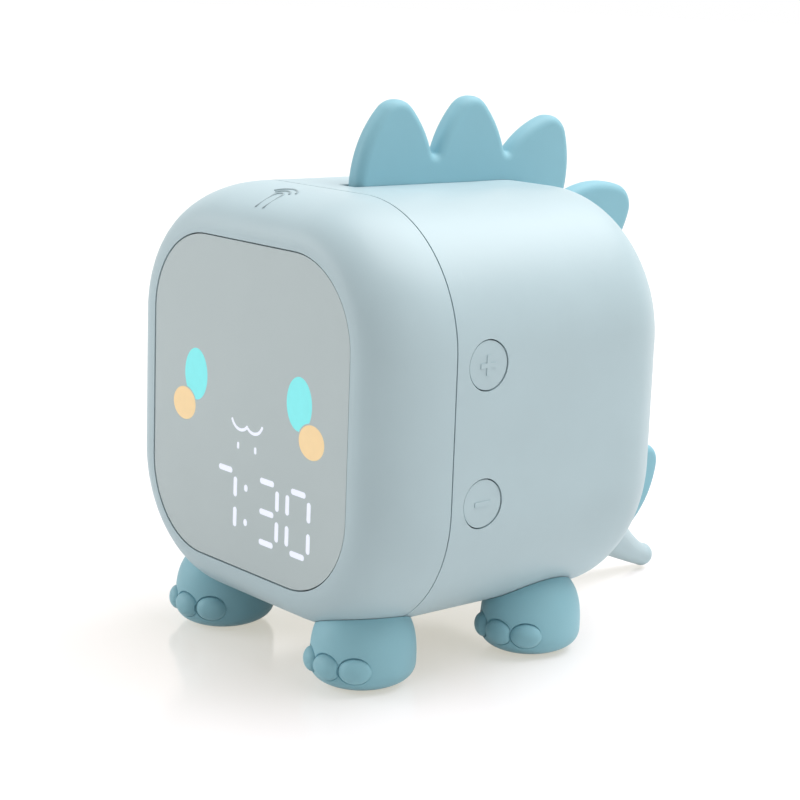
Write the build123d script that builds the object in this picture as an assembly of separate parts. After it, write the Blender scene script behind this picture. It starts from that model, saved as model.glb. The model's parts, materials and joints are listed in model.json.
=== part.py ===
from build123d import *
import os
from functools import cache
from math import acos, cos, pi, radians, sin, sqrt

# Digital alarm clock in the shape of a small dinosaur: a rounded cube of two shells on four feet,
# with a lit face behind a tinted window, a crest of soft lobes over the back and a stub tail.
# Millimetres. +Z is up, the lit face looks along -Y, and the origin is on the table under the
# middle of the overall box.

# Body
body_width = 90.0
body_height = 91.0
corner_radius = 30.2
front_edge_inset = 9.3
front_edge_depth = 17.4
straight_depth = 69.5
dome_depth = 25.2
ground_clearance = 9.9
shell_wall = 2.2
front_wall = 4.4
seam_depth = 18.6
seam_gap = 0.3
lip_length = 2.0
lip_wall = 1.2
lip_clearance = 0.15

# Overrun of every cut, and the clearance of pieces that are bonded or screwed in place
overrun = 5.0
seat_gap = 0.1
screw_gap = 0.05

# Steps of the body's curved stretches, and how far round the dome is drawn
edge_steps = 9
straight_steps = 6
dome_steps = 10
dome_turn = 84

# Window
window_width = 68.2
window_height = 69.8
window_radius = 18.4
window_thickness = 1.8
window_recess = 0.15
window_gap = 0.3
window_drop = 0.2
ledge_width = 2.4

# Lit signs set in the window
lens_gap = 0.03
eye_offset = 18.3
eye_rise = 4.15
eye_half_width = 4.2
eye_half_height = 5.65
cheek_offset = 22.6
cheek_drop = 3.0
cheek_half_width = 4.2
cheek_half_height = 3.6
cheek_margin = 0.35
sign_shift = 0.6
mouth_half_width = 5.3
mouth_end_drop = 3.2
mouth_low_drop = 5.0
mouth_cusp_drop = 4.0
mouth_stroke = 0.65
tooth_offset = 3.05
tooth_drop = 8.5
tooth_length = 1.5
tooth_width = 0.8
digit_width = 7.2
digit_height = 13.2
digit_drop = 20.95
digit_inner_offset = 7.4
digit_outer_offset = 18.1
stroke_width = 1.25
stroke_gap = 1.15
colon_spread = 7.5
colon_length = 1.5

# Light mask and display board behind the window
mask_width = 58.0
mask_height = 60.0
mask_radius = 12.0
mask_depth = 10.0
display_board_width = 51.0
display_board_height = 71.6
display_board_radius = 4.0
board_thickness = 1.6
display_post_offset = 18.0
display_post_rise = 33.6
display_post_radius = 2.6
led_size = 2.8
led_height = 1.2
small_led_size = 0.45
small_led_height = 0.5

# Screws
board_screw_radius = 1.0
board_screw_length = 6.0
board_head_radius = 1.9
board_head_height = 1.3
shell_screw_radius = 1.4
shell_screw_length = 16.0
shell_head_radius = 2.5
shell_head_height = 2.0
foot_screw_radius = 1.5
foot_screw_length = 11.0
foot_head_radius = 2.7
foot_head_height = 2.0

# Posts that join the two shells, and the plugs that hide their screws
post_offset = 30.0
post_rise = 30.5
post_radius = 3.7
post_meet_depth = 24.0
post_meet_gap = 0.2
post_floor = 6.0
post_rib = 1.4
plug_length = 5.0
plug_gap = 0.08

# Side keys, plus above minus, and the set key on the back
key_depth = 27.1
key_spread = 14.3
key_drop = 0.2
key_radius = 5.05
key_gap = 0.27
key_sink = 0.2
key_collar = 0.9
key_collar_thickness = 1.6
key_stop_gap = 0.15
key_stem_radius = 2.4
key_sign_length = 4.2
key_sign_width = 0.95
key_sign_height = 0.18
set_key_offset = 18.0
set_key_drop = 6.0
set_key_radius = 4.0
set_key_dish = 0.5

# Switches under the keys
switch_size = 6.0
switch_height = 3.5
switch_bore_depth = 2.2
plunger_radius = 1.7
plunger_gap = 0.12
plunger_height = 0.9
plunger_reach = 0.9
plunger_lift = 0.05
key_board_inset = 11.5
key_board_width = 10.0
key_board_height = 44.0
key_board_radius = 1.5
key_post_spread = 5.2
key_post_radius = 2.2

# Power board at the back, with its socket
power_board_depth = 80.0
power_board_width = 60.0
power_board_height = 30.0
power_board_drop = 9.0
power_board_radius = 2.0
power_post_offset = 26.4
power_post_spread = 10.6
power_post_radius = 2.4
socket_offset = 18.0
socket_drop = 6.0
socket_width = 8.9
socket_height = 3.2
socket_radius = 1.5
socket_wall = 0.35
socket_cavity = 6.2
socket_tongue_width = 6.4
socket_tongue_thickness = 0.7
socket_gap = 0.3
socket_setback = 1.6
plug_recess_width = 12.8
plug_recess_height = 7.0
plug_recess_radius = 3.0
plug_recess_depth = 1.0
chip_size = 9.0
chip_height = 1.4
link_socket_width = 13.0
link_socket_height = 4.2
link_socket_depth = 5.0
link_offset = 17.0
link_drop = 15.0
ribbon_width = 10.0
ribbon_thickness = 0.6
ribbon_sag = 9.0
ribbon_bend = 12.0

# Battery
battery_width = 30.0
battery_height = 46.0
battery_thickness = 7.0
battery_radius = 2.6
battery_offset = -8.0
battery_drop = 2.0
battery_pad_margin = 2.0
battery_pad_thickness = 1.0

# Speaker in the floor
speaker_depth = 42.0
speaker_radius = 14.0
speaker_height = 5.0
speaker_wall = 1.0
gasket_thickness = 1.0
gasket_width = 2.2
magnet_radius = 9.0
magnet_height = 4.5
cone_thickness = 0.5
cone_centre_radius = 4.0
cone_gap = 0.15
grille_hole_radius = 1.0
grille_pitch = 3.6
grille_rings = 3
speaker_rib = 1.4
speaker_rib_height = 3.0
speaker_rib_gap = 0.25
speaker_boss_radius = 2.5
speaker_boss_margin = 1.0

# Touch foil under the top of the front shell
foil_width = 20.0
foil_start = 8.5
foil_end = 15.4
foil_thickness = 0.25

# Wires
wire_radius = 0.6
wire_pitch = 2.6
wire_bend = 4.0

# Crest over the back: pointed arches that stand on the body and run into each other
crest_thickness = 5.1
crest_rounding = 2.1
crest_slot_gap = 0.2
crest_slot_lead = 1.2
flange_width = 13.0
flange_thickness = 1.5
lobe_half_width = 11.1
lobe_part_gap = 0.3
lobe_height = 19.2
lobe_tip_radius = 5.5
lobe_root = 12.0
web_height = 1.5
valley_radius = 0.8
first_lobe_depth = 38.0
first_lobe_rise = 44.5
second_lobe_depth = 59.4
second_lobe_rise = 45.1
third_lobe_depth = 77.3
third_lobe_rise = 42.0
third_lobe_lean = 26.9
fourth_lobe_depth = 94.2
fourth_lobe_rise = 31.2
fourth_lobe_lean = 62.0
fifth_lobe_depth = 93.0
fifth_lobe_rise = 12.0
fifth_lobe_lean = 88.0

# Tail, hollow, with two lobes of its own
tail_reach = 33.4
tail_root_drop = 29.2
tail_root_half_width = 13.0
tail_root_half_height = 13.9
tail_tip_radius = 2.9
tail_floor_gap = 0.5
tail_wall = 2.0
tail_steps = 9
tail_start_share = -0.38
tail_hollow_share = 0.7
tail_taper_power = 1.35
tail_fall_power = 1.2
tail_lobe_thickness = 4.4
tail_lobe_rounding = 2.0
tail_lobe_half_width = 10.4
tail_lobe_height = 18.0
tail_lobe_tip_radius = 4.6
tail_lobe_sink = 1.5
tail_lobe_root = 8.0
upper_tail_lobe_depth = 97.0
upper_tail_lobe_drop = 17.5
upper_tail_lobe_lean = 50.0
lower_tail_lobe_depth = 112.2
lower_tail_lobe_drop = 35.3
lower_tail_lobe_lean = 54.0
tail_screw_offset = 6.5
tail_screw_drop = 28.5
tail_seat_depth = 83.6
tail_boss_radius = 3.6
tail_post_radius = 3.2

# Feet: barrels with three toes, widest at the belly
front_foot_offset = 24.9
front_foot_depth = 13.6
rear_foot_offset = 28.4
rear_foot_depth = 58.6
foot_half_width = 10.6
foot_half_length = 11.6
foot_belly_height = 5.2
foot_shoulder_height = 13.2
foot_sole_share = 0.94
foot_belly_power = 2.66
foot_steps = 6
foot_top_share = 0.92
foot_gap = 0.12
foot_boss_radius = 4.2
foot_boss_height = 2.2
toe_half_width = 3.4
toe_half_height = 2.7
toe_half_depth = 2.0
toe_rise = 5.6
toe_proud = 1.4
toe_groove = 0.4
toe_groove_depth = 0.9
right_toe_turn = 9
left_toe_turn = 5
toe_pitch = 35.5

# Places that follow from the sizes above
total_depth = straight_depth + dome_depth + tail_reach
front_y = -total_depth / 2
dome_y = front_y + straight_depth
back_y = dome_y + dome_depth
seam_y = front_y + seam_depth
mid_z = ground_clearance + body_height / 2
window_z = mid_z - window_drop
window_y = front_y + window_recess
mask_y = window_y + window_thickness + seat_gap
display_board_y = mask_y + mask_depth + seat_gap
display_back_y = display_board_y + board_thickness
power_board_y = front_y + power_board_depth
power_back_y = power_board_y + board_thickness
power_board_z = mid_z - power_board_drop
floor_z = ground_clearance + shell_wall
key_board_x = body_width / 2 - key_board_inset
key_board_face_x = key_board_x + board_thickness
key_y = front_y + key_depth
key_z = mid_z - key_drop
key_heights = {"plus": key_z + key_spread, "minus": key_z - key_spread}
set_key_z = mid_z - set_key_drop
socket_z = mid_z - socket_drop
link_z = mid_z - link_drop
far = total_depth


# Helpers
def across(y, z=mid_z, x=0):
    """Sketch plane square to Y, drawn as seen from the front."""
    return Plane(origin=(x, y, z), x_dir=(1, 0, 0), z_dir=(0, -1, 0))


def rod_y(x, z, start, end, radius):
    """Round bar along Y."""
    return extrude(across(end, z, x) * Circle(radius), end - start)


def rod_x(y, z, start, end, radius):
    """Round bar along X."""
    plane = Plane(origin=(start, y, z), x_dir=(0, 1, 0), z_dir=(1, 0, 0))
    return extrude(plane * Circle(radius), end - start)


def rod_z(x, y, start, end, radius):
    """Round bar along Z."""
    return extrude(Plane((x, y, start)) * Circle(radius), end - start)


def block(x, y, z):
    """Box between pairs of limits."""
    size = [high - low for low, high in (x, y, z)]
    centre = [(low + high) / 2 for low, high in (x, y, z)]
    return Pos(*centre) * Box(*size)


def plate(width, height, radius, start, end, z=mid_z, x=0):
    """Rounded rectangle seen from the front, from one depth to another."""
    return extrude(across(end, z, x) * RectangleRounded(width, height, radius), end - start)


def joined(pieces):
    """One part out of pieces that overlap."""
    first, *others = pieces
    return first.fuse(*others) if others else first


# Body form
def body_section(y, inset, shrink=1.0):
    """Rounded rectangle of the body at one depth."""
    width = (body_width - 2 * inset) * shrink
    height = (body_height - 2 * inset) * shrink
    return across(y) * RectangleRounded(width, height, (corner_radius - inset) * shrink)


@cache
def body_form(inset, front_inset):
    """The whole body pulled in by a wall, or standing proud where the inset is negative."""
    sections = []
    for step in range(edge_steps):
        turn = pi / 2 * step / edge_steps
        pull = (front_edge_inset - inset) * (1 - sin(turn))
        run = (front_edge_depth - front_inset) * (1 - cos(turn))
        sections.append(body_section(front_y + front_inset + run, inset + pull))
    for step in range(straight_steps + 1):
        run = (straight_depth - front_edge_depth) * step / straight_steps
        sections.append(body_section(front_y + front_edge_depth + run, inset))
    for step in range(1, dome_steps + 1):
        turn = radians(dome_turn) * step / dome_steps
        run = (dome_depth - inset) * sin(turn)
        sections.append(body_section(dome_y + run, inset, cos(turn)))
    return loft(sections)


def body_skin(inset, thickness, zone):
    """Plate that lies inside the shells, following the wall."""
    return (zone & body_form(inset, front_wall)) - body_form(inset + thickness, front_wall + thickness)


outer_form = body_form(0, 0)
inner_form = body_form(shell_wall, front_wall)
half_wall_form = body_form(shell_wall / 2, front_wall / 2)


# Window and lit signs
def sign_plane(y):
    """Sketch plane of the window's signs."""
    return across(y, mid_z)


def ovals(offset, rise, half_width, half_height):
    """A mirrored pair of ovals."""
    return [Pos(side * offset, rise) * Ellipse(half_width, half_height) for side in (-1, 1)]


def cheeks(margin=0):
    return ovals(cheek_offset, -cheek_drop, cheek_half_width + margin, cheek_half_height + margin)


def eyes(margin=0):
    """Each eye is cut back round the cheek that overlaps it."""
    pairs = zip(ovals(eye_offset, eye_rise, eye_half_width + margin, eye_half_height + margin),
                cheeks(cheek_margin - margin))
    return [eye - cheek for eye, cheek in pairs]


def mouth(margin=0):
    """Two scallops with round ends, and two small teeth below."""
    width = mouth_stroke + 2 * margin
    shapes = []
    for side in (-1, 1):
        arc = ThreePointArc((0, -mouth_cusp_drop), (side * mouth_half_width / 2, -mouth_low_drop),
                            (side * mouth_half_width, -mouth_end_drop))
        shapes.append(Pos(sign_shift) * SlotArc(arc, width))
    teeth = [Pos(sign_shift + side * tooth_offset, -tooth_drop)
             * SlotOverall(tooth_length + 2 * margin, tooth_width + 2 * margin, rotation=90)
             for side in (-1, 1)]
    return [shapes[0] + shapes[1]] + teeth


# Strokes of a digit as places across and up, in half widths and half heights, and upright or not
stroke_shares = {"a": (0, 1, False), "b": (1, 0.5, True), "c": (1, -0.5, True), "d": (0, -1, False),
                 "e": (-1, -0.5, True), "f": (-1, 0.5, True), "g": (0, 0, False)}
shown_digits = ((sign_shift - digit_inner_offset, "abc"), (sign_shift + digit_inner_offset, "abcdg"),
                (sign_shift + digit_outer_offset, "abcdef"))


def time_strokes(margin=0):
    """Strokes of the three lit digits, and the colon between hours and minutes."""
    shapes = []
    width = stroke_width + 2 * margin
    for offset, letters in shown_digits:
        for letter in letters:
            across_share, up_share, upright = stroke_shares[letter]
            length = (digit_height / 2 if upright else digit_width) - 2 * stroke_gap + 2 * margin
            place = Pos(offset + across_share * digit_width / 2, up_share * digit_height / 2 - digit_drop)
            stroke = SlotOverall(length, width, rotation=90 if upright else 0)
            shapes.append(place * stroke)
    for side in (-1, 1):
        dot = SlotOverall(colon_length + 2 * margin, width, rotation=90)
        shapes.append(Pos(sign_shift, side * colon_spread / 2 - digit_drop) * dot)
    return shapes


def lenses(shapes):
    """Inserts as deep as the window, one solid a shape."""
    plane = sign_plane(window_y + window_thickness)
    return Compound(children=[extrude(plane * shape, window_thickness) for shape in shapes])


def sign_cut(shapes, start, end):
    """Openings of the same signs through another piece."""
    plane = sign_plane(end)
    return [extrude(plane * shape, end - start) for shape in shapes]


sign_makers = {"eye_lenses": eyes, "cheek_lenses": cheeks, "mouth_lens": mouth, "time_lenses": time_strokes}


def make_window():
    window = plate(window_width, window_height, window_radius, window_y, window_y + window_thickness,
                   window_z)
    for maker in sign_makers.values():
        window -= sign_cut(maker(lens_gap), window_y - overrun, window_y + window_thickness + overrun)
    return window


def make_mask():
    """Light mask: one open well behind each sign."""
    end = mask_y + mask_depth
    mask = plate(mask_width, mask_height, mask_radius, mask_y, end, window_z)
    for maker in sign_makers.values():
        mask -= sign_cut(maker(0), mask_y - overrun, end + overrun)
    return mask


# Boards
def display_posts():
    return [(sx * display_post_offset, mid_z + sz * display_post_rise) for sx in (-1, 1) for sz in (-1, 1)]


def power_posts():
    return [(sx * power_post_offset, power_board_z + sz * power_post_spread)
            for sx in (-1, 1) for sz in (-1, 1)]


def key_posts():
    return [key_z + side * key_post_spread for side in (-1, 1)]


def make_display_board():
    board = plate(display_board_width, display_board_height, display_board_radius,
                  display_board_y, display_back_y)
    for x, z in display_posts():
        board -= rod_y(x, z, display_board_y - overrun, display_back_y + overrun,
                       board_screw_radius + screw_gap)
    return board


def make_display_lights():
    """One light for each eye and cheek, and small ones behind the mouth and each stroke of the time."""
    wide = [(side * eye_offset, eye_rise + eye_half_height / 2) for side in (-1, 1)]
    wide += [(side * cheek_offset, -cheek_drop) for side in (-1, 1)]
    small = [(shape.center().X, shape.center().Y) for shape in time_strokes()]
    small += [(sign_shift + side * mouth_half_width / 2, -mouth_low_drop) for side in (-1, 1)]
    small += [(sign_shift + side * tooth_offset, -tooth_drop) for side in (-1, 1)]
    lights = []
    for spots, size, height in ((wide, led_size, led_height), (small, small_led_size, small_led_height)):
        for x, rise in spots:
            z = mid_z + rise
            lights.append(block((x - size / 2, x + size / 2), (display_board_y - height, display_board_y),
                                (z - size / 2, z + size / 2)))
    return Compound(children=lights)


def make_power_board():
    board = plate(power_board_width, power_board_height, power_board_radius,
                  power_board_y, power_back_y, power_board_z)
    for x, z in power_posts():
        board -= rod_y(x, z, power_board_y - overrun, power_back_y + overrun, board_screw_radius + screw_gap)
    return board


def make_key_board():
    plane = Plane(origin=(key_board_x, key_y, key_z), x_dir=(0, 1, 0), z_dir=(1, 0, 0))
    board = extrude(plane * RectangleRounded(key_board_width, key_board_height, key_board_radius),
                    board_thickness)
    for z in key_posts():
        board -= rod_x(key_y, z, key_board_x - overrun, key_board_face_x + overrun,
                       board_screw_radius + screw_gap)
    return board


def screw_y(x, z, seat, length, radius, head_radius, head_height, way):
    """Screw along Y whose head stands on the seat; way is the sense in which its point looks."""
    near = sorted((seat, seat - way * head_height))
    point = sorted((seat, seat + way * length))
    return rod_y(x, z, *near, head_radius) + rod_y(x, z, *point, radius)


def make_board_screws():
    sizes = (board_screw_length, board_screw_radius, board_head_radius, board_head_height)
    screws = [screw_y(x, z, display_back_y, *sizes, -1) for x, z in display_posts()]
    screws += [screw_y(x, z, power_board_y, *sizes, 1) for x, z in power_posts()]
    for z in key_posts():
        head = rod_x(key_y, z, key_board_x - board_head_height, key_board_x, board_head_radius)
        point_x = key_board_x + board_screw_length
        screws.append(head + rod_x(key_y, z, key_board_x, point_x, board_screw_radius))
    return Compound(children=screws)


# Posts between the shells
def post_places():
    return [(sx * post_offset, mid_z + sz * post_rise, sx, sz) for sx in (-1, 1) for sz in (-1, 1)]


post_meet_y = front_y + post_meet_depth
post_seat_y = post_meet_y + post_meet_gap + post_floor


def post_rib_at(x, z, side_x, side_z, start, end):
    """Rib from a post out to the corner of its shell."""
    reach = corner_radius / 2
    rib = Box(reach, end - start, post_rib, align=(Align.MIN, Align.MIN, Align.CENTER))
    turn = {(1, 1): -45, (1, -1): 45, (-1, 1): -135, (-1, -1): 135}[(side_x, side_z)]
    return Pos(x, start, z) * Rot(0, turn, 0) * rib


def make_shell_screws():
    return Compound(children=[
        screw_y(x, z, post_seat_y, shell_screw_length, shell_screw_radius, shell_head_radius,
                shell_head_height, -1) for x, z, _, _ in post_places()])


def plug_zone(radius):
    """Round bars down the four screw wells."""
    return [rod_y(x, z, post_seat_y, far, radius) for x, z, _, _ in post_places()]


well_radius = shell_head_radius + plug_gap


def well_mouth_y(x, z):
    """Depth at which a well on the corner's diagonal leaves the dome."""
    flat_x = body_width / 2 - corner_radius
    flat_z = body_height / 2 - corner_radius
    low, high = 0.0, 1.0
    for _ in range(40):
        share = (low + high) / 2
        reach = sqrt((abs(x) - share * flat_x) ** 2 + (abs(z - mid_z) - share * flat_z) ** 2)
        low, high = (share, high) if reach > share * corner_radius else (low, share)
    return dome_y + dome_depth * sin(acos(high))


def make_screw_plugs():
    plugs = []
    for x, z, _, _ in post_places():
        mouth_y = well_mouth_y(x, z)
        bar = rod_y(x, z, mouth_y - plug_length, far, shell_head_radius)
        plugs.append(bar & outer_form)
    return Compound(children=plugs)


# Crest
def arch(half_width, height, tip_radius, root):
    """Outline of a lobe: bowed sides, upright at the foot, that meet in a round tip, on a straight root."""
    tip_y = height - tip_radius
    side_radius = (half_width ** 2 + tip_y ** 2 - tip_radius ** 2) / (2 * (half_width - tip_radius))
    tip_share = tip_radius / (side_radius - tip_radius)
    shoulder_x = (side_radius - half_width) * tip_share
    shoulder_y = tip_y * (1 + tip_share)
    lines = [ThreePointArc((-shoulder_x, shoulder_y), (0, height), (shoulder_x, shoulder_y)),
             Polyline((-half_width, 0), (-half_width, -root), (half_width, -root), (half_width, 0))]
    lines += [TangentArc((side * half_width, 0), (side * shoulder_x, shoulder_y), tangent=(0, 1))
              for side in (-1, 1)]
    return make_face([edge for line in lines for edge in line.edges()])


def lobe_plate(place, half_width, height, tip_radius, root, thickness):
    """Upright plate in the middle plane, leaning back from the vertical."""
    depth, rise, lean = place
    plane = Plane(origin=(0, front_y + depth, mid_z + rise), x_dir=(0, 1, 0), z_dir=(1, 0, 0))
    outline = arch(half_width, height, tip_radius, root)
    return extrude(plane * Rot(0, 0, -lean) * outline, thickness / 2, both=True)


def round_lobe(place, half_width, height, tip_radius, root, thickness, rounding):
    body = lobe_plate(place, half_width, height, tip_radius, root, thickness)
    return fillet(body.edges().filter_by(GeomType.CIRCLE), rounding)


def lobe_point(place, climb):
    """Point in the middle plane at a height over a lobe's foot."""
    depth, rise, lean = place
    return Vector(0, front_y + depth + climb * sin(radians(lean)), mid_z + rise + climb * cos(radians(lean)))


def web_plate(first, second, gap=0):
    """Low plate that joins the roots of two lobes, or the space that it takes up with a gap all round."""
    root = -lobe_root - gap
    top = web_height + gap
    corners = [lobe_point(first, root), lobe_point(first, top), lobe_point(second, top),
               lobe_point(second, root)]
    outline = make_face(Polyline(*corners, close=True).edges())
    return extrude(outline, crest_thickness / 2 + gap, dir=(1, 0, 0), both=True)


def valley_edge(comb, first, second):
    """Sharp edge across the thickness where two lobes meet."""
    middle = (lobe_point(first, lobe_half_width) + lobe_point(second, lobe_half_width)) / 2
    return comb.edges().filter_by(Axis.X).sort_by_distance(middle)[0]


top_lobes = ((first_lobe_depth, first_lobe_rise, 0), (second_lobe_depth, second_lobe_rise, 0),
             (third_lobe_depth, third_lobe_rise, third_lobe_lean))
back_lobes = ((fourth_lobe_depth, fourth_lobe_rise, fourth_lobe_lean),
              (fifth_lobe_depth, fifth_lobe_rise, fifth_lobe_lean))
tail_lobes = ((upper_tail_lobe_depth, -upper_tail_lobe_drop, upper_tail_lobe_lean),
              (lower_tail_lobe_depth, -lower_tail_lobe_drop, lower_tail_lobe_lean))

flange_inset = shell_wall + seat_gap
top_flange_zone = block((-flange_width / 2, flange_width / 2),
                        (front_y + first_lobe_depth - lobe_half_width, front_y + third_lobe_depth),
                        (mid_z, mid_z + body_height))
back_flange_zone = block((-flange_width / 2, flange_width / 2), (dome_y, far),
                         (mid_z + fifth_lobe_rise - lobe_half_width, mid_z + fourth_lobe_rise))


def make_crest(places, zone):
    """Lobes that run into each other in round valleys, with a flange against the inside of the shell."""
    pairs = list(zip(places, places[1:]))
    comb = joined([lobe_room(place, 0) for place in places] + [web_plate(*pair) for pair in pairs])
    comb = fillet([valley_edge(comb, *pair) for pair in pairs], valley_radius)
    comb = fillet(comb.edges().filter_by(GeomType.CIRCLE), crest_rounding)
    comb -= body_form(flange_inset + flange_thickness / 2, front_wall)
    return comb + body_skin(flange_inset, flange_thickness, zone)


def lobe_room(place, gap):
    """Space that a lobe of the crest takes up, with a gap all round."""
    return lobe_plate(place, lobe_half_width + gap, lobe_height + gap, lobe_tip_radius + gap, lobe_root + gap,
                      crest_thickness + 2 * gap)


def crest_slot(places):
    """Slot in the shell round a row of lobes and their web."""
    rooms = [lobe_room(place, crest_slot_gap) for place in places]
    return rooms + [web_plate(*pair, crest_slot_gap) for pair in zip(places, places[1:])]


def make_back_crest():
    """Lower row of lobes, cut back where it meets the last lobe above it."""
    return make_crest(back_lobes, back_flange_zone) - lobe_room(top_lobes[-1], lobe_part_gap)


# Tail
def tail_section(share, inset):
    """Oval of the tail at a share of its way from the body to the tip."""
    left = 1 - share
    taper = left ** tail_taper_power
    tip_drop = mid_z - tail_floor_gap - tail_tip_radius
    drop = tip_drop - (tip_drop - tail_root_drop) * left ** tail_fall_power
    half_width = tail_tip_radius + (tail_root_half_width - tail_tip_radius) * taper - inset
    half_height = tail_tip_radius + (tail_root_half_height - tail_tip_radius) * taper - inset
    y = back_y + (tail_reach - tail_tip_radius) * share
    return across(y, mid_z - drop) * Ellipse(half_width, half_height)


def tail_form(inset, end_share=1.0):
    stretch = end_share - tail_start_share
    shares = [tail_start_share + stretch * step / tail_steps for step in range(tail_steps + 1)]
    return loft([tail_section(share, inset) for share in shares])


tail_tip_y = back_y + tail_reach - tail_tip_radius
tail_tip = Pos(0, tail_tip_y, tail_floor_gap + tail_tip_radius) * Sphere(tail_tip_radius)
tail_outer = tail_form(0) + tail_tip
tail_inner = tail_form(tail_wall, tail_hollow_share)
tail_lobe_floor = tail_form(tail_lobe_sink)
tail_pocket_floor = tail_form(tail_lobe_sink + seat_gap)
tail_screw_places = [(side * tail_screw_offset, mid_z - tail_screw_drop) for side in (-1, 1)]
tail_seat_y = front_y + tail_seat_depth


def make_tail():
    """Hollow stub with two posts for the screws that hold it."""
    tail = tail_outer - tail_inner
    for x, z in tail_screw_places:
        tail += rod_y(x, z, tail_seat_y, far, tail_post_radius) & tail_outer
    tail -= body_form(-seat_gap, -seat_gap)
    for x, z in tail_screw_places:
        hole_end = tail_seat_y + foot_screw_length + seat_gap
        tail -= rod_y(x, z, tail_seat_y, hole_end, foot_screw_radius + screw_gap)
    for place in tail_lobes:
        pocket = lobe_plate(place, tail_lobe_half_width + seat_gap, tail_lobe_height + seat_gap,
                            tail_lobe_tip_radius + seat_gap, tail_lobe_root + seat_gap,
                            tail_lobe_thickness + 2 * seat_gap)
        tail -= pocket - tail_pocket_floor
    return tail


def make_tail_crest():
    sizes = (tail_lobe_half_width, tail_lobe_height, tail_lobe_tip_radius, tail_lobe_root,
             tail_lobe_thickness, tail_lobe_rounding)
    comb = joined([round_lobe(place, *sizes) for place in tail_lobes])
    return comb - tail_lobe_floor - body_form(-seat_gap, -seat_gap)


def make_tail_screws():
    return Compound(children=[
        screw_y(x, z, tail_seat_y, foot_screw_length, foot_screw_radius, foot_head_radius,
                foot_head_height, 1) for x, z in tail_screw_places])


# Feet
foot_places = {"front_right_foot": (front_foot_offset, front_foot_depth),
               "front_left_foot": (-front_foot_offset, front_foot_depth),
               "rear_right_foot": (rear_foot_offset, rear_foot_depth),
               "rear_left_foot": (-rear_foot_offset, rear_foot_depth)}


def foot_shares():
    """Heights of a foot's ovals, and how wide each is as a share of the belly."""
    rows = []
    for step in range(foot_steps):
        sink = foot_sole_share * cos(pi / 2 * step / foot_steps)
        height = foot_belly_height * (1 - sink / foot_sole_share)
        rows.append((height, (1 - sink ** foot_belly_power) ** (1 / foot_belly_power)))
    for step in range(foot_steps + 1):
        climb = foot_top_share * step / foot_steps
        rows.append((foot_belly_height + foot_shoulder_height * climb,
                     (1 - climb ** foot_belly_power) ** (1 / foot_belly_power)))
    return rows


def foot_seat_z(offset):
    """Height of the flat on which a foot's screw head stands."""
    side = max(abs(offset) - (body_width / 2 - corner_radius), 0)
    inner_radius = corner_radius - shell_wall
    return floor_z + inner_radius - sqrt(inner_radius ** 2 - side ** 2) + foot_boss_height


def make_foot(offset, depth):
    middle_turn = right_toe_turn if offset > 0 else left_toe_turn
    y = front_y + depth
    foot = loft([Plane((offset, y, height)) * Ellipse(foot_half_width * share, foot_half_length * share)
                 for height, share in foot_shares()])
    for step in (-1, 0, 1):
        turn = middle_turn + step * toe_pitch
        reach_x = (foot_half_width + toe_proud - toe_half_depth) * sin(radians(turn))
        reach_y = (foot_half_length + toe_proud - toe_half_depth) * cos(radians(turn))
        place = Pos(offset + reach_x, y - reach_y, toe_rise) * Rot(0, 0, turn)
        groove_depth = toe_half_depth - toe_proud + toe_groove_depth
        groove = scale(Sphere(1), by=(toe_half_width + toe_groove, groove_depth, toe_half_height + toe_groove))
        outward = Pos(0, toe_proud - toe_half_depth, 0)
        toe = scale(Sphere(1), by=(toe_half_width, toe_half_depth, toe_half_height))
        foot -= place * outward * groove
        foot += place * toe
    foot -= body_form(-foot_gap, -foot_gap)
    seat = foot_seat_z(offset)
    foot -= rod_z(offset, y, seat - foot_screw_length - seat_gap, seat, foot_screw_radius + screw_gap)
    return foot


def make_foot_screws():
    screws = []
    for offset, depth in foot_places.values():
        seat = foot_seat_z(offset)
        y = front_y + depth
        head = rod_z(offset, y, seat, seat + foot_head_height, foot_head_radius)
        screws.append(head + rod_z(offset, y, seat - foot_screw_length, seat, foot_screw_radius))
    return Compound(children=screws)


def foot_bosses(names):
    """Raised seats for the foot screws inside a shell."""
    bosses = []
    for name in names:
        offset, depth = foot_places[name]
        bosses.append(rod_z(offset, front_y + depth, ground_clearance, foot_seat_z(offset), foot_boss_radius))
    return [boss & half_wall_form for boss in bosses]


def foot_holes(names):
    places = [foot_places[name] for name in names]
    return [rod_z(offset, front_y + depth, -overrun, foot_seat_z(offset) + overrun,
                  foot_screw_radius + screw_gap) for offset, depth in places]


front_feet = ("front_right_foot", "front_left_foot")
rear_feet = ("rear_right_foot", "rear_left_foot")


# Keys
key_inner_x = key_board_face_x + switch_height + plunger_height + plunger_lift
key_collar_x = body_width / 2 - shell_wall - key_stop_gap - key_collar_thickness
cap_form = body_form(key_sink, key_sink)
sign_form = body_form(key_sink - key_sign_height, key_sink - key_sign_height)
collar_form = body_form(shell_wall + key_stop_gap, front_wall)


def make_side_key(name):
    """Cap that follows the body's side just below it, a collar behind the wall and a stem to its switch."""
    z = key_heights[name]
    key = rod_x(key_y, z, key_collar_x, body_width, key_radius) & cap_form
    key += rod_x(key_y, z, key_collar_x, body_width, key_radius + key_collar) & collar_form
    key += rod_x(key_y, z, key_inner_x, key_collar_x, key_stem_radius)
    plane = Plane(origin=(key_collar_x, key_y, z), x_dir=(0, 1, 0), z_dir=(1, 0, 0))
    sign = Rectangle(key_sign_length, key_sign_width)
    if name == "plus":
        sign += Rectangle(key_sign_width, key_sign_length)
    return key + (extrude(plane * sign, body_width) & sign_form)


def make_side_plunger(name):
    z = key_heights[name]
    top = key_board_face_x + switch_height + plunger_height
    return rod_x(key_y, z, key_board_face_x + switch_height - plunger_reach, top, plunger_radius)


set_switch_top_y = power_back_y + switch_height
set_collar_y = set_switch_top_y + plunger_height + key_collar_thickness


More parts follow.
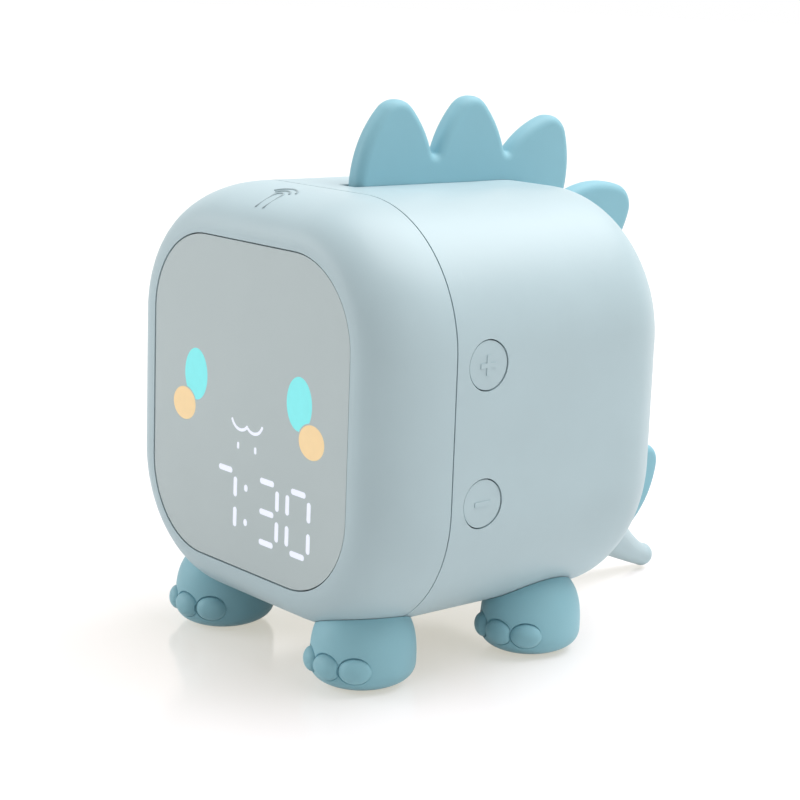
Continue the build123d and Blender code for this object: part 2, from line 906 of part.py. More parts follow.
def make_set_key():
    """Round key in the back, dished for a fingertip."""
    x = -set_key_offset
    key = rod_y(x, set_key_z, set_collar_y, far, set_key_radius) & body_form(set_key_dish, set_key_dish)
    key += rod_y(x, set_key_z, set_collar_y, far, set_key_radius + key_collar) & collar_form
    stem_y = set_switch_top_y + plunger_height + plunger_lift
    return key + rod_y(x, set_key_z, stem_y, set_collar_y, key_stem_radius)


def make_set_plunger():
    return rod_y(-set_key_offset, set_key_z, set_switch_top_y - plunger_reach,
                 set_switch_top_y + plunger_height, plunger_radius)


def make_switches():
    """Switch cases, each with a bore for its plunger."""
    half = switch_size / 2
    bore = plunger_radius + plunger_gap
    cases = []
    for z in key_heights.values():
        top = key_board_face_x + switch_height
        case = block((key_board_face_x, top), (key_y - half, key_y + half), (z - half, z + half))
        cases.append(case - rod_x(key_y, z, top - switch_bore_depth, top + overrun, bore))
    x = -set_key_offset
    case = block((x - half, x + half), (power_back_y, set_switch_top_y), (set_key_z - half, set_key_z + half))
    bore_y = set_switch_top_y - switch_bore_depth
    cases.append(case - rod_y(x, set_key_z, bore_y, set_switch_top_y + overrun, bore))
    return Compound(children=cases)


# Socket, chip, links and battery
def dome_depth_at(x):
    """Depth of the dome's outer face at a place across, near mid height."""
    return dome_y + dome_depth * sin(acos(abs(x) / (body_width / 2)))


socket_end_y = dome_depth_at(socket_offset) - socket_setback


def make_socket():
    """Metal sleeve with a contact tongue inside."""
    sleeve = plate(socket_width, socket_height, socket_radius, power_back_y, socket_end_y, socket_z,
                   socket_offset)
    sleeve -= plate(socket_width - 2 * socket_wall, socket_height - 2 * socket_wall,
                    socket_radius - socket_wall, socket_end_y - socket_cavity, socket_end_y + overrun,
                    socket_z, socket_offset)
    tongue_end = socket_end_y - socket_wall
    return sleeve + block((socket_offset - socket_tongue_width / 2, socket_offset + socket_tongue_width / 2),
                          (power_back_y, tongue_end),
                          (socket_z - socket_tongue_thickness / 2, socket_z + socket_tongue_thickness / 2))


def socket_cut():
    through = plate(socket_width + 2 * socket_gap, socket_height + 2 * socket_gap, socket_radius + socket_gap,
                    dome_y, far, socket_z, socket_offset)
    recess_y = dome_depth_at(socket_offset + plug_recess_width / 2) - plug_recess_depth
    recess = plate(plug_recess_width, plug_recess_height, plug_recess_radius, recess_y, far, socket_z,
                   socket_offset)
    return [through, recess]


def make_chip():
    half = chip_size / 2
    return block((link_offset - half, link_offset + half), (display_back_y, display_back_y + chip_height),
                 (mid_z + chip_size, mid_z + 2 * chip_size))


def make_link_sockets():
    half_width = link_socket_width / 2
    half_height = link_socket_height / 2
    x = (link_offset - half_width, link_offset + half_width)
    z = (link_z - half_height, link_z + half_height)
    rows = ((display_back_y, display_back_y + link_socket_depth),
            (power_board_y - link_socket_depth, power_board_y))
    return Compound(children=[block(x, row, z) for row in rows])


def make_ribbon():
    """Flat cable with some slack between the two boards."""
    start = display_back_y + link_socket_depth
    end = power_board_y - link_socket_depth
    run = (end - start) / 4
    points = [(link_offset, start, link_z), (link_offset, start + run, link_z),
              (link_offset, start + 2 * run, link_z - ribbon_sag), (link_offset, start + 3 * run, link_z),
              (link_offset, end, link_z)]
    path = FilletPolyline(*points, radius=ribbon_bend)
    section = across(start, link_z, link_offset) * Rectangle(ribbon_width, ribbon_thickness)
    return sweep(section, path)


battery_y = display_back_y + battery_pad_thickness + seat_gap


def make_battery():
    cell = plate(battery_width, battery_height, battery_radius, battery_y, battery_y + battery_thickness,
                 mid_z - battery_drop, battery_offset)
    return fillet(cell.edges().group_by(Axis.Y)[0] + cell.edges().group_by(Axis.Y)[-1], battery_radius / 2)


def make_battery_pad():
    return plate(battery_width - 2 * battery_pad_margin, battery_height - 2 * battery_pad_margin,
                 battery_radius, display_back_y, display_back_y + battery_pad_thickness,
                 mid_z - battery_drop, battery_offset)


# Speaker
speaker_y = front_y + speaker_depth
speaker_z = floor_z + seat_gap + gasket_thickness
speaker_top_z = speaker_z + speaker_height
speaker_boss_offset = speaker_radius + speaker_boss_radius + speaker_rib_gap
speaker_boss_places = [speaker_y + side * speaker_boss_offset for side in (-1, 1)]


def make_gasket():
    ring = rod_z(0, speaker_y, floor_z + seat_gap, speaker_z, speaker_radius)
    return ring - rod_z(0, speaker_y, floor_z, speaker_z + overrun, speaker_radius - gasket_width)


def make_speaker_frame():
    cup = rod_z(0, speaker_y, speaker_z, speaker_top_z, speaker_radius)
    return cup - rod_z(0, speaker_y, speaker_z - overrun, speaker_top_z - speaker_wall,
                       speaker_radius - speaker_wall)


def make_speaker_cone():
    """Thin cone, open to the grille, with a flat centre."""
    rise = speaker_height - speaker_wall - cone_gap
    wide = speaker_radius - speaker_wall - cone_gap
    low = Pos(0, speaker_y, speaker_z + rise / 2)
    cone = low * Cone(wide, cone_centre_radius, rise)
    return cone - Pos(0, 0, -cone_thickness) * low * Cone(wide, cone_centre_radius, rise)


def make_magnet():
    return rod_z(0, speaker_y, speaker_top_z, speaker_top_z + magnet_height, magnet_radius)


def make_speaker_screws():
    screws = []
    for y in speaker_boss_places:
        seat = speaker_top_z + seat_gap
        head = rod_z(0, y, seat, seat + foot_head_height, speaker_boss_radius + speaker_boss_margin)
        shank = rod_z(0, y, seat - speaker_height, seat, board_screw_radius)
        screws.append(head + shank)
    return Compound(children=screws)


def speaker_seat():
    """Round rib that locates the speaker, and the two bosses beside it."""
    outside = speaker_radius + speaker_rib_gap
    rib = rod_z(0, speaker_y, floor_z - shell_wall / 2, floor_z + speaker_rib_height, outside + speaker_rib)
    rib -= rod_z(0, speaker_y, floor_z - shell_wall, floor_z + speaker_rib_height + overrun, outside)
    bosses = [rod_z(0, y, floor_z - shell_wall / 2, speaker_top_z, speaker_boss_radius)
              for y in speaker_boss_places]
    holes = [rod_z(0, y, speaker_top_z - speaker_height, speaker_top_z + overrun,
                   board_screw_radius + screw_gap) for y in speaker_boss_places]
    seat = joined([rib] + bosses) - rod_z(0, speaker_y, floor_z, speaker_top_z + overrun, outside)
    return seat - holes


def grille_holes():
    """Rings of round holes in the floor."""
    holes = [rod_z(0, speaker_y, -overrun, floor_z + seat_gap, grille_hole_radius)]
    for ring in range(1, grille_rings + 1):
        count = 6 * ring
        for step in range(count):
            turn = 2 * pi * step / count
            x = ring * grille_pitch * cos(turn)
            y = speaker_y + ring * grille_pitch * sin(turn)
            holes.append(rod_z(x, y, -overrun, floor_z + seat_gap, grille_hole_radius))
    return holes


# Touch foil and wires
def make_foil():
    zone = block((-foil_width / 2, foil_width / 2), (front_y + foil_start, front_y + foil_end),
                 (mid_z, mid_z + body_height))
    return body_skin(shell_wall + seat_gap, foil_thickness, zone)


def wire(points):
    """Round wire on straight runs joined by arcs."""
    path = FilletPolyline(*points, radius=wire_bend)
    return sweep(Plane(origin=path @ 0, z_dir=path % 0) * Circle(wire_radius), path)


battery_top_z = mid_z - battery_drop + battery_height / 2
wire_end_y = power_board_y - wire_radius


def make_battery_leads():
    """Two leads from the top of the cell over to the power board."""
    leads = []
    y = battery_y + battery_thickness / 2
    for side in (-1, 1):
        x = battery_offset + side * wire_pitch
        end_z = power_board_z + power_board_height / 4
        points = [(x, y, battery_top_z), (x, y, battery_top_z + 2 * wire_bend),
                  (x, (y + wire_end_y) / 2, battery_top_z + wire_bend),
                  (x, wire_end_y - 3 * wire_bend, end_z), (x, wire_end_y, end_z)]
        leads.append(wire(points))
    return Compound(children=leads)


def make_speaker_leads():
    """Two leads from the magnet up to the power board."""
    leads = []
    for side in (-1, 1):
        x = side * wire_pitch
        start = speaker_y + magnet_radius / 2
        z = speaker_top_z + magnet_height
        end_z = power_board_z - power_board_height / 4
        points = [(x, start, z), (x, start, z + 2 * wire_bend),
                  (x, wire_end_y - 3 * wire_bend, end_z), (x, wire_end_y, end_z)]
        leads.append(wire(points))
    return Compound(children=leads)


def make_key_leads():
    """Two leads from the side keys' board back to the power board."""
    leads = []
    x = key_board_x
    end_x = power_board_width / 2 - wire_pitch
    for step in (1, 2):
        z = key_posts()[0] - board_head_radius - step * wire_pitch
        points = [(x, key_y, z), (x - 2 * wire_bend, key_y, z), (end_x, wire_end_y - 3 * wire_bend, z),
                  (end_x, wire_end_y, z)]
        leads.append(wire(points))
    return Compound(children=leads)


# Shells
def lip_ring(start, end, outside, inside):
    """Straight ring inside the seam."""
    ring = extrude(body_section(end, outside), end - start)
    return ring - extrude(body_section(end + overrun, inside), end - start + 2 * overrun)


def make_front_shell():
    zone = block((-far, far), (-far, seam_y - seam_gap / 2), (-far, far))
    shell = (outer_form & zone) - inner_form
    inside = shell_wall + lip_clearance
    shell += lip_ring(seam_y - lip_length, seam_y - seam_gap / 2, shell_wall / 2, inside + lip_wall)
    shell += lip_ring(seam_y - lip_length, seam_y + lip_length, inside, inside + lip_wall)
    pocket_end = window_y + window_thickness
    shell -= plate(window_width + 2 * window_gap, window_height + 2 * window_gap, window_radius + window_gap,
                   front_y - overrun, pocket_end, window_z)
    shell -= plate(window_width - 2 * ledge_width, window_height - 2 * ledge_width,
                   window_radius - ledge_width, front_y - overrun, front_y + front_wall + overrun / 2,
                   window_z)
    root_y = (pocket_end + front_y + front_wall) / 2
    for x, z in display_posts():
        shell += rod_y(x, z, root_y, display_board_y, display_post_radius) & half_wall_form
    for x, z in display_posts():
        start = display_back_y - board_screw_length - seat_gap
        shell -= rod_y(x, z, start, display_board_y + overrun, board_screw_radius + screw_gap)
    for x, z, _, _ in post_places():
        shell += rod_y(x, z, root_y, post_meet_y, post_radius) & half_wall_form
        hole_y = post_seat_y - shell_screw_length - seat_gap
        shell -= rod_y(x, z, hole_y, post_meet_y + overrun, shell_screw_radius + screw_gap)
    shell += foot_bosses(front_feet)
    return shell - foot_holes(front_feet)


def make_rear_shell():
    zone = block((-far, far), (seam_y + seam_gap / 2, far), (-far, far))
    shell = (outer_form & zone) - inner_form
    start = post_meet_y + post_meet_gap
    for x, z, side_x, side_z in post_places():
        post = rod_y(x, z, start, far, post_radius)
        post += post_rib_at(x, z, side_x, side_z, start + lip_length, dome_y)
        shell += post & half_wall_form
    for x, z in power_posts():
        shell += rod_y(x, z, power_back_y, far, power_post_radius) & half_wall_form
    for z in key_posts():
        shell += rod_x(key_y, z, key_board_face_x, body_width, key_post_radius) & half_wall_form
    for x, z in tail_screw_places:
        shell += rod_y(x, z, tail_seat_y, far, tail_boss_radius) & half_wall_form
    shell += foot_bosses(rear_feet)
    shell += speaker_seat()
    shell -= plug_zone(well_radius)
    shell -= [rod_y(x, z, start - overrun, post_seat_y + overrun, shell_screw_radius + screw_gap)
              for x, z, _, _ in post_places()]
    power_hole = power_board_y + board_screw_length + seat_gap
    shell -= [rod_y(x, z, power_board_y, power_hole, board_screw_radius + screw_gap)
              for x, z in power_posts()]
    key_hole = key_board_x + board_screw_length + seat_gap
    shell -= [rod_x(key_y, z, key_board_x, key_hole, board_screw_radius + screw_gap) for z in key_posts()]
    shell -= [rod_y(x, z, tail_seat_y - overrun, far, foot_screw_radius + screw_gap)
              for x, z in tail_screw_places]
    shell -= foot_holes(rear_feet)
    shell -= grille_holes()
    shell -= [rod_x(key_y, z, key_collar_x + key_collar_thickness / 2, body_width, key_radius + key_gap)
              for z in key_heights.values()]
    shell -= rod_y(-set_key_offset, set_key_z, set_collar_y, far, set_key_radius + key_gap)
    shell -= socket_cut()
    lead = (first_lobe_depth - crest_slot_lead, first_lobe_rise, 0)
    shell -= crest_slot((lead,) + top_lobes)
    shell -= crest_slot(back_lobes)
    return shell


# All pieces
pieces = {
    "front_shell": make_front_shell(),
    "rear_shell": make_rear_shell(),
    "display_window": make_window(),
    "light_mask": make_mask(),
    "display_board": make_display_board(),
    "display_lights": make_display_lights(),
    "power_board": make_power_board(),
    "key_board": make_key_board(),
    "key_switches": make_switches(),
    "board_screws": make_board_screws(),
    "shell_screws": make_shell_screws(),
    "screw_plugs": make_screw_plugs(),
    "crest": make_crest(top_lobes, top_flange_zone),
    "back_crest": make_back_crest(),
    "tail": make_tail(),
    "tail_crest": make_tail_crest(),
    "tail_screws": make_tail_screws(),
    "foot_screws": make_foot_screws(),
    "plus_key": make_side_key("plus"),
    "minus_key": make_side_key("minus"),
    "set_key": make_set_key(),
    "plus_plunger": make_side_plunger("plus"),
    "minus_plunger": make_side_plunger("minus"),
    "set_plunger": make_set_plunger(),
    "charge_socket": make_socket(),
    "control_chip": make_chip(),
    "link_sockets": make_link_sockets(),
    "display_ribbon": make_ribbon(),
    "battery": make_battery(),
    "battery_pad": make_battery_pad(),
    "speaker_gasket": make_gasket(),
    "speaker_frame": make_speaker_frame(),
    "speaker_cone": make_speaker_cone(),
    "speaker_magnet": make_magnet(),
    "speaker_screws": make_speaker_screws(),
    "touch_foil": make_foil(),
    "battery_leads": make_battery_leads(),
    "speaker_leads": make_speaker_leads(),
    "key_leads": make_key_leads(),
}
for sign_name, sign_maker in sign_makers.items():
    pieces[sign_name] = lenses(sign_maker(0))
for foot_name, foot_place in foot_places.items():
    pieces[foot_name] = make_foot(*foot_place)

os.makedirs("parts", exist_ok=True)
for piece_name, piece in pieces.items():
    export_step(piece, f"parts/{piece_name}.step")
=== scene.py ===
import json
from math import cos, pi, radians, sin
import bmesh
import bpy
from mathutils import Matrix, Vector


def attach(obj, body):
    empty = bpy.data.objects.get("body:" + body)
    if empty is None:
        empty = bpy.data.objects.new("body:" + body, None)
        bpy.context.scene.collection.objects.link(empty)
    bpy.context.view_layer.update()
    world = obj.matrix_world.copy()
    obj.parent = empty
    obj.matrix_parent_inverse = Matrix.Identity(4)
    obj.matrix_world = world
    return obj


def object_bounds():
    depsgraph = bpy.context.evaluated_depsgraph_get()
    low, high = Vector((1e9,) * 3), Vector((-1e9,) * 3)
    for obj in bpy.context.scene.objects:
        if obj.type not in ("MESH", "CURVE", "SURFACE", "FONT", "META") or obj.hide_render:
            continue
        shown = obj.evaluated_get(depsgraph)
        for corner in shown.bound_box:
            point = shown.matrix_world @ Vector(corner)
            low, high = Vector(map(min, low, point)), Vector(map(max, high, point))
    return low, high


# Digital alarm clock in the shape of a small dinosaur: its finish, a tap sign, one toe of each foot, a floor,
# lights and a camera. Metres. +Z is up and the lit face looks along -Y.

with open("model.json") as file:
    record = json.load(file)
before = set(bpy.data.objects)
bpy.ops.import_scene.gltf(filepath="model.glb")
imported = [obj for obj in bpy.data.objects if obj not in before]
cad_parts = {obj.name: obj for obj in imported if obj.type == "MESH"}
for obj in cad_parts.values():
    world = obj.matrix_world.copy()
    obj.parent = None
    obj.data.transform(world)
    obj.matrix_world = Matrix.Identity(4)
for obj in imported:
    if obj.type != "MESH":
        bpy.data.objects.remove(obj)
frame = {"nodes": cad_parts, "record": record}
cad_low, cad_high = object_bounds()
nodes = frame["nodes"]
scene = bpy.context.scene
mm = 0.001

# Colours, linear
shell_color = (0.455, 0.575, 0.615)
window_color = (0.476, 0.553, 0.563)
crest_color = (0.250, 0.500, 0.590)
# Foot: the crest's silicone made lighter, painted bounce light from the floor on the feet
foot_painted_bounce_color = (0.280, 0.532, 0.612)
eye_color = (0.235, 0.890, 0.910)
cheek_color = (0.960, 0.705, 0.380)
time_color = (0.860, 0.900, 1.000)
# Tap sign: shell plastic darkened, painted shade of its raised lines
mark_painted_shade_color = (0.300, 0.385, 0.415)
board_color = (0.020, 0.110, 0.050)
trace_color = (0.035, 0.190, 0.085)
black_color = (0.022, 0.022, 0.024)
steel_color = (0.560, 0.565, 0.575)
copper_color = (0.720, 0.400, 0.240)
nylon_color = (0.780, 0.750, 0.660)
cell_color = (0.220, 0.270, 0.330)
red_color = (0.420, 0.020, 0.018)
lamp_color = (0.820, 0.760, 0.420)

# Finish: where noise counts as low and as high, moulded clouds and grain, and the glow of the lit signs
low_noise, high_noise = 0.3, 0.7
cloud_scale = 45.0
gloss_swing = 0.03
grain_depth = 0.05 * mm
sign_strength = 0.62
time_strength = 0.72
sign_roughness = 0.5
sign_cloud_scale = 500.0
sign_cloud_stops = (0.25, 0.75)
sign_dim_share = 0.96
day_color_share = 0.35

# Finish of metal, circuit boards and the flat cable
scratch_scale = (900.0, 900.0, 9000.0)
scratch_shares = (0.85, 1.1)
scratch_gloss = 0.12
board_roughness = 0.38
board_pale_share = 1.15
lane_scale = 300.0
lane_width = 0.05
lane_bump = 0.3
lane_depth = 0.05 * mm
cable_roughness = 0.5
core_scale = 600.0
core_stops = (0.2, 0.6)
core_bump = 0.5
core_depth = 0.1 * mm


# Node helpers
def feed(tree, socket, value):
    """Sets a socket, or links it where the value is another node's output."""
    if isinstance(value, bpy.types.NodeSocket):
        tree.links.new(value, socket)
    else:
        socket.default_value = value


def put(tree, kind, inputs, **options):
    """One shader node with its options and inputs."""
    node = tree.nodes.new("ShaderNode" + kind)
    for option, value in options.items():
        setattr(node, option, value)
    for name, value in inputs.items():
        feed(tree, node.inputs[name], value)
    return node


def material_start(name, settings):
    """A new material with the fixed values of its shader set."""
    material = bpy.data.materials.new(name)
    material.use_nodes = True
    tree = material.node_tree
    shader = tree.nodes["Principled BSDF"]
    for socket, value in settings.items():
        shader.inputs[socket].default_value = value
    place = put(tree, "TexCoord", {}).outputs["Object"]
    return material, tree, shader, place


def tint(color, factor):
    return tuple(factor * part for part in color) + (1.0,)


def noise(tree, place, scale, detail=3.0):
    return put(tree, "TexNoise", {"Vector": place, "Scale": scale, "Detail": detail}).outputs["Fac"]


def ramp(tree, value, stops):
    """Colour ramp through pairs of a place and a colour."""
    node = put(tree, "ValToRGB", {"Fac": value})
    elements = node.color_ramp.elements
    for element, (spot, color) in zip(elements, (stops[0], stops[-1])):
        element.position = spot
        element.color = color
    for spot, color in stops[1:-1]:
        elements.new(spot).color = color
    return node.outputs["Color"]


def spread(tree, value, low, high):
    """Noise stretched over a range of values."""
    stretch = {"Value": value, "From Min": low_noise, "From Max": high_noise, "To Min": low, "To Max": high}
    return put(tree, "MapRange", stretch).outputs["Result"]


def bumped(tree, height, strength, depth):
    return put(tree, "Bump", {"Height": height, "Strength": strength, "Distance": depth}).outputs["Normal"]


# Materials
def moulded(name, color, roughness, mottle=0.02, grain=0.06, grain_scale=2600.0, settings=None):
    """Moulded plastic or silicone: faint cloudy colour, fine surface grain and uneven gloss."""
    material, tree, shader, place = material_start(name, settings or {})
    cloud = noise(tree, place, cloud_scale)
    stops = ((low_noise, tint(color, 1 - mottle)), (high_noise, tint(color, 1 + mottle)))
    feed(tree, shader.inputs["Base Color"], ramp(tree, cloud, stops))
    gloss = spread(tree, cloud, roughness - gloss_swing, roughness + gloss_swing)
    feed(tree, shader.inputs["Roughness"], gloss)
    fine = noise(tree, place, grain_scale, detail=2.0)
    feed(tree, shader.inputs["Normal"], bumped(tree, fine, grain, grain_depth))
    return material


def lit_sign(name, color, strength):
    """Light diffuser: evenly lit, a little cloudy, and still coloured in daylight."""
    settings = {"Roughness": sign_roughness, "Emission Strength": strength}
    material, tree, shader, place = material_start(name, settings)
    cloud = noise(tree, place, sign_cloud_scale)
    for socket, share in (("Base Color", day_color_share), ("Emission Color", 1.0)):
        shades = (tint(color, sign_dim_share * share), tint(color, share))
        feed(tree, shader.inputs[socket], ramp(tree, cloud, tuple(zip(sign_cloud_stops, shades))))
    return material


def metal(name, color, roughness):
    """Plated metal with fine scratches."""
    material, tree, shader, place = material_start(name, {"Metallic": 1.0})
    scratch = put(tree, "Mapping", {"Vector": place, "Scale": scratch_scale}).outputs["Vector"]
    line = noise(tree, scratch, 1.0)
    dull, bright = (tint(color, share) for share in scratch_shares)
    feed(tree, shader.inputs["Base Color"], ramp(tree, line, ((low_noise, dull), (high_noise, bright))))
    feed(tree, shader.inputs["Roughness"], spread(tree, line, roughness, roughness + scratch_gloss))
    return material


def circuit_board(name):
    """Green board with lighter copper lanes under the varnish."""
    material, tree, shader, place = material_start(name, {"Roughness": board_roughness})
    lanes = put(tree, "TexBrick", {"Vector": place, "Color1": tint(board_color, 1.0),
                                   "Color2": tint(board_color, board_pale_share),
                                   "Mortar": tint(trace_color, 1.0), "Scale": lane_scale,
                                   "Mortar Size": lane_width})
    feed(tree, shader.inputs["Base Color"], lanes.outputs["Color"])
    feed(tree, shader.inputs["Normal"], bumped(tree, lanes.outputs["Fac"], lane_bump, lane_depth))
    return material


def striped(name, color, other, scale):
    """Flat cable of many cores side by side."""
    material, tree, shader, place = material_start(name, {"Roughness": cable_roughness})
    wave = put(tree, "TexWave", {"Vector": place, "Scale": scale}, bands_direction="X")
    shades = (tint(other, 1.0), tint(color, 1.0))
    color_out = ramp(tree, wave.outputs["Fac"], tuple(zip(core_stops, shades)))
    feed(tree, shader.inputs["Base Color"], color_out)
    feed(tree, shader.inputs["Normal"], bumped(tree, wave.outputs["Fac"], core_bump, core_depth))
    return material


silicone = {"Sheen Weight": 0.12, "Sheen Roughness": 0.5, "Specular IOR Level": 0.35}
satin = {"Specular IOR Level": 0.42}
materials = {
    "shell": moulded("shell_plastic", shell_color, 0.42, settings=satin),
    "window": moulded("window_tint", window_color, 0.36, mottle=0.008, grain=0.02, settings=satin),
    "crest": moulded("crest_silicone", crest_color, 0.55, mottle=0.03, grain=0.10, settings=silicone),
    # foot material: lighter copy of the crest silicone, painted bounce light
    "foot": moulded("foot_silicone_painted_bounce", foot_painted_bounce_color, 0.52, mottle=0.03, grain=0.10, settings=silicone),
    "eye_light": lit_sign("eye_glow", eye_color, sign_strength),
    "cheek_light": lit_sign("cheek_glow", cheek_color, sign_strength),
    "white_light": lit_sign("time_glow", time_color, time_strength),
    "mask": moulded("mask_black", black_color, 0.6),
    "board": circuit_board("circuit_board"),
    "light_chip": moulded("lamp_yellow", lamp_color, 0.3),
    "switch_case": moulded("case_black", black_color, 0.5),
    "plunger": moulded("plunger_white", nylon_color, 0.45),
    "steel": metal("plated_steel", steel_color, 0.28),
    "magnet": metal("ferrite", black_color, 0.6),
    "connector": moulded("nylon", nylon_color, 0.4),
    "ribbon": striped("flat_cable", nylon_color, steel_color, core_scale),
    "cell": moulded("cell_wrap", cell_color, 0.3),
    "foam": moulded("foam", black_color, 0.9, grain=0.8, grain_scale=1400.0),
    "foil": metal("copper_foil", copper_color, 0.3),
    "wire": moulded("wire_red", red_color, 0.45),
}
slot_of = {row["node"]: row["material_slot"] for row in frame["record"]["subparts"]}
for node_name, node in nodes.items():
    node.data.materials.clear()
    node.data.materials.append(materials[slot_of[node_name]])


def smooth_piece(name, mesh, material):
    """An object made of a finished mesh, shaded smooth."""
    for face in mesh.faces:
        face.smooth = True
    data = bpy.data.meshes.new(name)
    mesh.to_mesh(data)
    mesh.free()
    data.materials.append(material)
    piece = bpy.data.objects.new(name, data)
    scene.collection.objects.link(piece)
    return piece


# Tap sign on top of the front shell: a fingertip and two arcs in raised lines, coloured darker than the shell
# as painted shade
mark_place = (-1.2 * mm, -56.0 * mm)
mark_line = 0.24 * mm
mark_sides = 8
finger_half_width = 1.3 * mm
finger_length = 4.6 * mm
arc_radii = (2.7 * mm, 4.2 * mm)
arc_turn = 62
finger_step = 15
arc_step = 4
drop_height = 0.1


def mark_paths():
    """Lines of the sign, seen from above, as points across and towards the back."""
    finger = [(-finger_half_width, -finger_length)]
    finger += [(finger_half_width * cos(radians(turn)), finger_half_width * sin(radians(turn)))
               for turn in range(180, -1, -finger_step)]
    finger += [(finger_half_width, -finger_length)]
    turns = [radians(turn) for turn in range(-arc_turn, arc_turn + 1, arc_step)]
    arcs = [[(radius * sin(turn), radius * cos(turn)) for turn in turns] for radius in arc_radii]
    return [finger] + arcs


def laid_on(points, surface):
    """Points dropped onto a surface from above."""
    down = Vector((0, 0, -1))
    spots = []
    for x, y in points:
        start = Vector((mark_place[0] + x, mark_place[1] + y, cad_high.z + drop_height))
        hit, spot, _, _ = surface.ray_cast(surface.matrix_world.inverted() @ start, down)
        if hit:
            spots.append(surface.matrix_world @ spot)
    return spots


def bead(mesh, points):
    """Round bead along points, closed at both ends."""
    rings = []
    for step, point in enumerate(points):
        along = points[min(step + 1, len(points) - 1)] - points[max(step - 1, 0)]
        side = along.cross(Vector((0, 0, 1))).normalized()
        up = side.cross(along).normalized()
        ring = []
        for corner in range(mark_sides):
            turn = 2 * pi * corner / mark_sides
            ring.append(mesh.verts.new(point + (side * cos(turn) + up * sin(turn)) * mark_line))
        rings.append(ring)
    for ring, following in zip(rings, rings[1:]):
        for corner in range(mark_sides):
            other = (corner + 1) % mark_sides
            mesh.faces.new((ring[corner], ring[other], following[other], following[corner]))
    mesh.faces.new(rings[0])
    mesh.faces.new(rings[-1][::-1])


def make_mark():
    mesh = bmesh.new()
    for path in mark_paths():
        bead(mesh, laid_on(path, nodes["front_shell"]))
    bmesh.ops.recalc_face_normals(mesh, faces=mesh.faces)
    # darker than the shell: painted shade of the raised lines
    mark = smooth_piece("tap_mark", mesh, moulded("mark_painted_shade", mark_painted_shade_color, 0.45))
    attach(mark, "housing")


make_mark()


# The toe nearest the left side on each foot, in the hollow beside the other two: the feet's places, and the
# toe's reach and turn
foot_places = {"front_right": (24.9 * mm, -50.45 * mm), "front_left": (-24.9 * mm, -50.45 * mm),
               "rear_right": (28.4 * mm, -5.45 * mm), "rear_left": (-28.4 * mm, -5.45 * mm)}
toe_reach = (10.0 * mm, 11.0 * mm)
toe_rise = 5.6 * mm
toe_radii = (2.95 * mm, 2.0 * mm, 2.7 * mm)
right_toe_turn = -26.5
left_toe_turn = -30.5
toe_segments = 48
toe_rings = 24


def make_toe(foot, x, y):
    """Rounded toe that stands out of its foot by about half its depth."""
    turn = radians(right_toe_turn if x > 0 else left_toe_turn)
    place = Matrix.Translation((x + toe_reach[0] * sin(turn), y - toe_reach[1] * cos(turn), toe_rise))
    place = place @ Matrix.Rotation(turn, 4, "Z") @ Matrix.Diagonal((*toe_radii, 1.0))
    mesh = bmesh.new()
    bmesh.ops.create_uvsphere(mesh, u_segments=toe_segments, v_segments=toe_rings, radius=1.0, matrix=place)
    # the toe takes the foot colour with its painted bounce light
    toe = smooth_piece(foot + "_toe", mesh, materials["foot"])
    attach(toe, "housing")


for foot_name, foot_place in foot_places.items():
    make_toe(foot_name, *foot_place)


# Floor and light
floor_half = 8.0
floor_bounce = (0.85, 0.84, 0.83)
floor_base = (0.53, 0.515, 0.59)
floor_lift = (0.50, 0.473, 0.40)
floor_gloss = {"Roughness": 0.15, "Specular IOR Level": 0.5}
floor_cloud_scale = 3.0
floor_cloud_stops = (0.2, 0.8)
floor_swing = 0.01
world_light = 0.34


def seen_directly(tree):
    """One for what the camera sees, also in mirrors and through glass, and nought for light that bounces."""
    path = put(tree, "LightPath", {})
    seen = path.outputs["Is Camera Ray"]
    for other in ("Is Glossy Ray", "Is Transmission Ray"):
        seen = put(tree, "Math", {0: seen, 1: path.outputs[other]}, operation="MAXIMUM").outputs[0]
    return seen


def floor_material():
    """White gloss floor: as bright as the background, apart from soft warm shadows and faint reflections."""
    material, tree, shader, place = material_start("floor_white", floor_gloss)
    shader.inputs["Emission Color"].default_value = tint(floor_lift, 1.0)
    cloud = noise(tree, place, floor_cloud_scale)
    shades = (tint(floor_base, 1 - floor_swing), tint(floor_base, 1 + floor_swing))
    shown = ramp(tree, cloud, tuple(zip(floor_cloud_stops, shades)))
    seen = seen_directly(tree)
    mix = put(tree, "Mix", {0: seen, 6: tint(floor_bounce, 1.0), 7: shown}, data_type="RGBA")
    feed(tree, shader.inputs["Base Color"], mix.outputs[2])
    feed(tree, shader.inputs["Emission Strength"], seen)
    return material


def make_floor():
    mesh = bpy.data.meshes.new("floor")
    corners = [(-floor_half, -floor_half, 0), (floor_half, -floor_half, 0), (floor_half, floor_half, 0),
               (-floor_half, floor_half, 0)]
    mesh.from_pydata(corners, [], [(0, 1, 2, 3)])
    floor = bpy.data.objects.new("floor", mesh)
    scene.collection.objects.link(floor)
    mesh.materials.append(floor_material())


def make_world():
    """Even white surroundings that look white and light the clock softly."""
    world = bpy.data.worlds.new("studio")
    world.use_nodes = True
    scene.world = world
    tree = world.node_tree
    strength = put(tree, "MapRange", {"Value": seen_directly(tree), "To Min": world_light, "To Max": 1.0})
    back = tree.nodes["Background"]
    back.inputs["Color"].default_value = (1.0, 1.0, 1.0, 1.0)
    feed(tree, back.inputs["Strength"], strength.outputs["Result"])


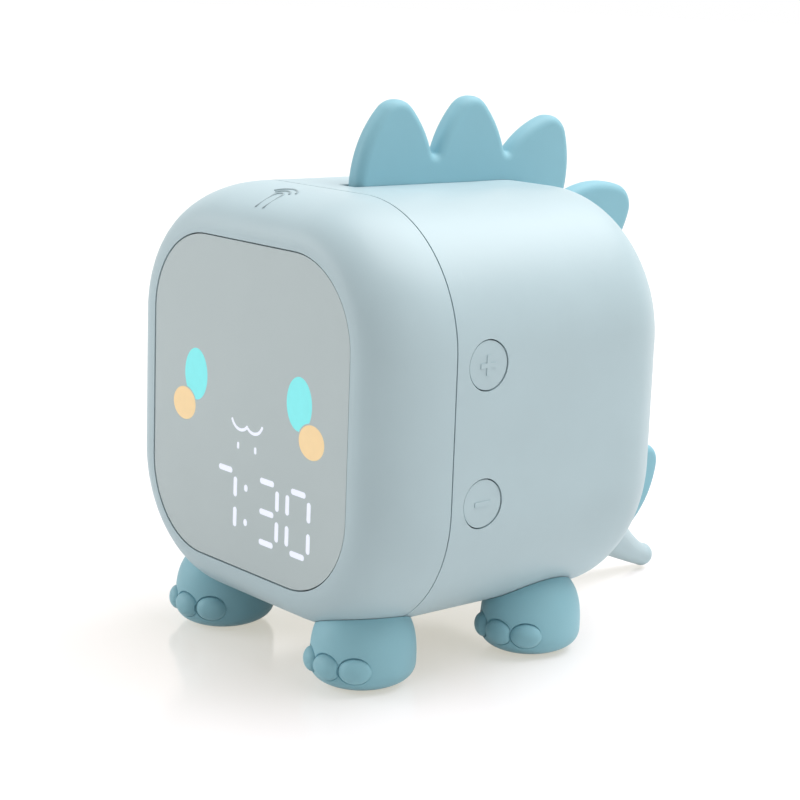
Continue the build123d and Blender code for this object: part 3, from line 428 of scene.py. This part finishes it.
def make_lamp(name, azimuth, elevation, size, power):
    """Softbox that looks at the clock; azimuth 0 is in front and 90 on the side with the keys."""
    a, e = radians(azimuth), radians(elevation)
    way = Vector((sin(a) * cos(e), -cos(a) * cos(e), sin(e)))
    lamp = bpy.data.lights.new(name, "AREA")
    lamp.shape = "RECTANGLE"
    lamp.size, lamp.size_y = size
    lamp.energy = power
    holder = bpy.data.objects.new(name, lamp)
    scene.collection.objects.link(holder)
    holder.location = body_centre + way * lamp_distance
    holder.rotation_euler = (-way).to_track_quat("-Z", "Y").to_euler()


body_centre = Vector((0.0, -20.616 * mm, 55.4 * mm))
lamp_distance = 0.9
lamps = (("left_softbox", -41, 18, (0.6, 0.5), 2.95), ("right_softbox", 100, 15, (0.6, 0.5), 0.80),
         ("top_softbox", 160, 65, (0.9, 0.9), 10.9))
make_floor()
make_world()
for lamp in lamps:
    make_lamp(*lamp)


# Camera
camera_azimuth = radians(49.40)
camera_elevation = radians(11.91)
camera_roll = radians(2.08)
camera_distance = 441.5 * mm
focal_pixels = 1978.0
image_pixels = 800.0
centre_pixel = (403.40, 386.82)
sensor_width = 36.0
clip_range = (0.02, 50.0)


def make_camera():
    """Camera whose body centre shows at its pixel of the photograph."""
    a, e, r = camera_azimuth, camera_elevation, camera_roll
    back = Vector((sin(a) * cos(e), -cos(a) * cos(e), sin(e)))
    right = Vector((cos(a), sin(a), 0))
    up = back.cross(right)
    right, up = right * cos(r) + up * sin(r), up * cos(r) - right * sin(r)
    shift_x = (centre_pixel[0] - image_pixels / 2) / focal_pixels * camera_distance
    shift_y = (image_pixels / 2 - centre_pixel[1]) / focal_pixels * camera_distance
    place = body_centre + back * camera_distance - right * shift_x - up * shift_y
    data = bpy.data.cameras.new("camera")
    data.sensor_width = sensor_width
    data.lens = focal_pixels / image_pixels * sensor_width
    data.clip_start, data.clip_end = clip_range
    camera = bpy.data.objects.new("camera", data)
    scene.collection.objects.link(camera)
    camera.matrix_world = Matrix((
        (right.x, up.x, back.x, place.x), (right.y, up.y, back.y, place.y), (right.z, up.z, back.z, place.z),
        (0, 0, 0, 1)))
    scene.camera = camera


make_camera()
scene.view_settings.view_transform = "Standard"
